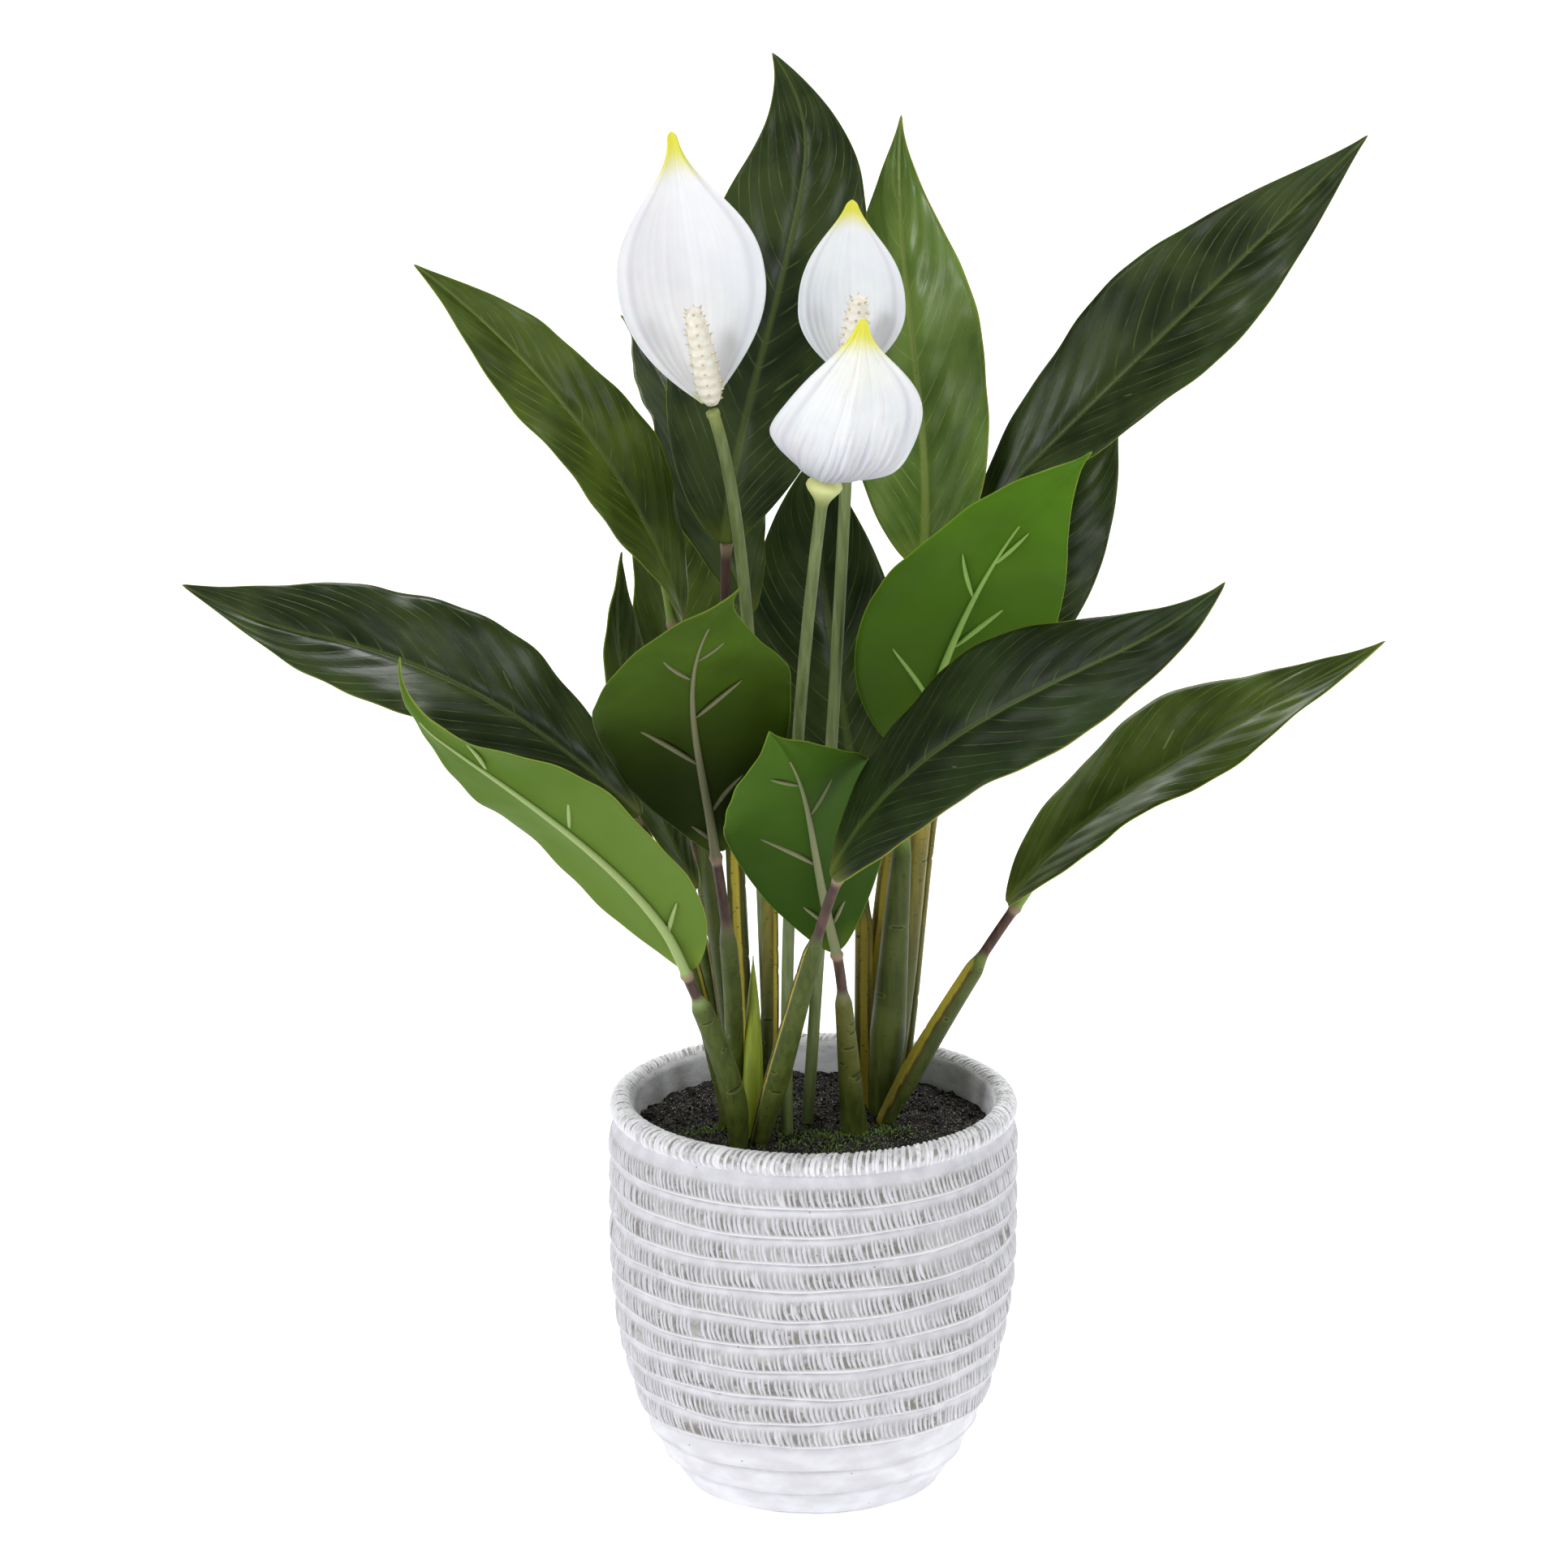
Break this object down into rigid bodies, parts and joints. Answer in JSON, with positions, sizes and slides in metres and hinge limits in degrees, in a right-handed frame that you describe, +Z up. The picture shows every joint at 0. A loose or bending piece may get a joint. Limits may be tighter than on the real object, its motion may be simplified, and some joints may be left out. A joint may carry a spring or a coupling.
{
  "type": "potted peace lily",
  "caption": "Peace lily with long pointed leaves and white hooded flowers, standing in a round ribbed pot filled with soil.",
  "frame": {"origin": "middle of the pot's flat underside", "axes": "+Z up; +X to the right and -Y towards the viewer in the pictured view"},
  "size_m": [0.4324, 0.2689, 0.5252],
  "materials": {
    "pot": "whitewashed cement, matt, with rough grooves",
    "soil": "loose dark crumb, matt",
    "shoot": "yellow-green, satin",
    "blade_dark": "dark green leaf, satin",
    "blade_mid": "mid green leaf, satin",
    "blade_bright": "bright green underside, satin",
    "stalk": "olive sheath with a brown neck, satin",
    "flower_stem": "grey-green, satin",
    "spathe": "white, matt, with a yellow-green tip",
    "spadix": "cream, knobbly, matt"
  },
  "bodies": {
    "root": {"pot": "pot", "soil": "soil", "shoot": "shoot", "leaf_top_centre_blade": "blade_dark", "leaf_top_centre_stalk": "stalk", "leaf_top_right_blade": "blade_mid", "leaf_top_right_stalk": "stalk", "leaf_far_right_high_blade": "blade_dark", "leaf_far_right_high_stalk": "stalk", "leaf_back_right_blade": "blade_dark", "leaf_back_right_stalk": "stalk", "leaf_far_left_high_blade": "blade_mid", "leaf_far_left_high_stalk": "stalk", "leaf_far_left_blade": "blade_dark", "leaf_far_left_stalk": "stalk", "leaf_front_right_high_blade": "blade_bright", "leaf_front_right_high_stalk": "stalk", "leaf_front_left_high_blade": "blade_bright", "leaf_front_left_high_stalk": "stalk", "leaf_front_centre_blade": "blade_bright", "leaf_front_centre_stalk": "stalk", "leaf_front_left_low_blade": "blade_bright", "leaf_front_left_low_stalk": "stalk", "leaf_front_right_blade": "blade_dark", "leaf_front_right_stalk": "stalk", "leaf_far_right_low_blade": "blade_mid", "leaf_far_right_low_stalk": "stalk", "leaf_small_left_blade": "blade_mid", "leaf_small_left_stalk": "stalk", "leaf_back_left_low_blade": "blade_mid", "leaf_back_left_low_stalk": "stalk", "leaf_back_left_high_blade": "blade_dark", "leaf_back_left_high_stalk": "stalk", "leaf_back_centre_blade": "blade_dark", "leaf_back_centre_stalk": "stalk", "flower_left_stem": "flower_stem", "flower_left_spathe": "spathe", "flower_left_spadix": "spadix", "flower_back_stem": "flower_stem", "flower_back_spathe": "spathe", "flower_back_spadix": "spadix", "flower_front_stem": "flower_stem", "flower_front_spathe": "spathe", "flower_front_spadix": "spadix"}
  },
  "joints": []
}
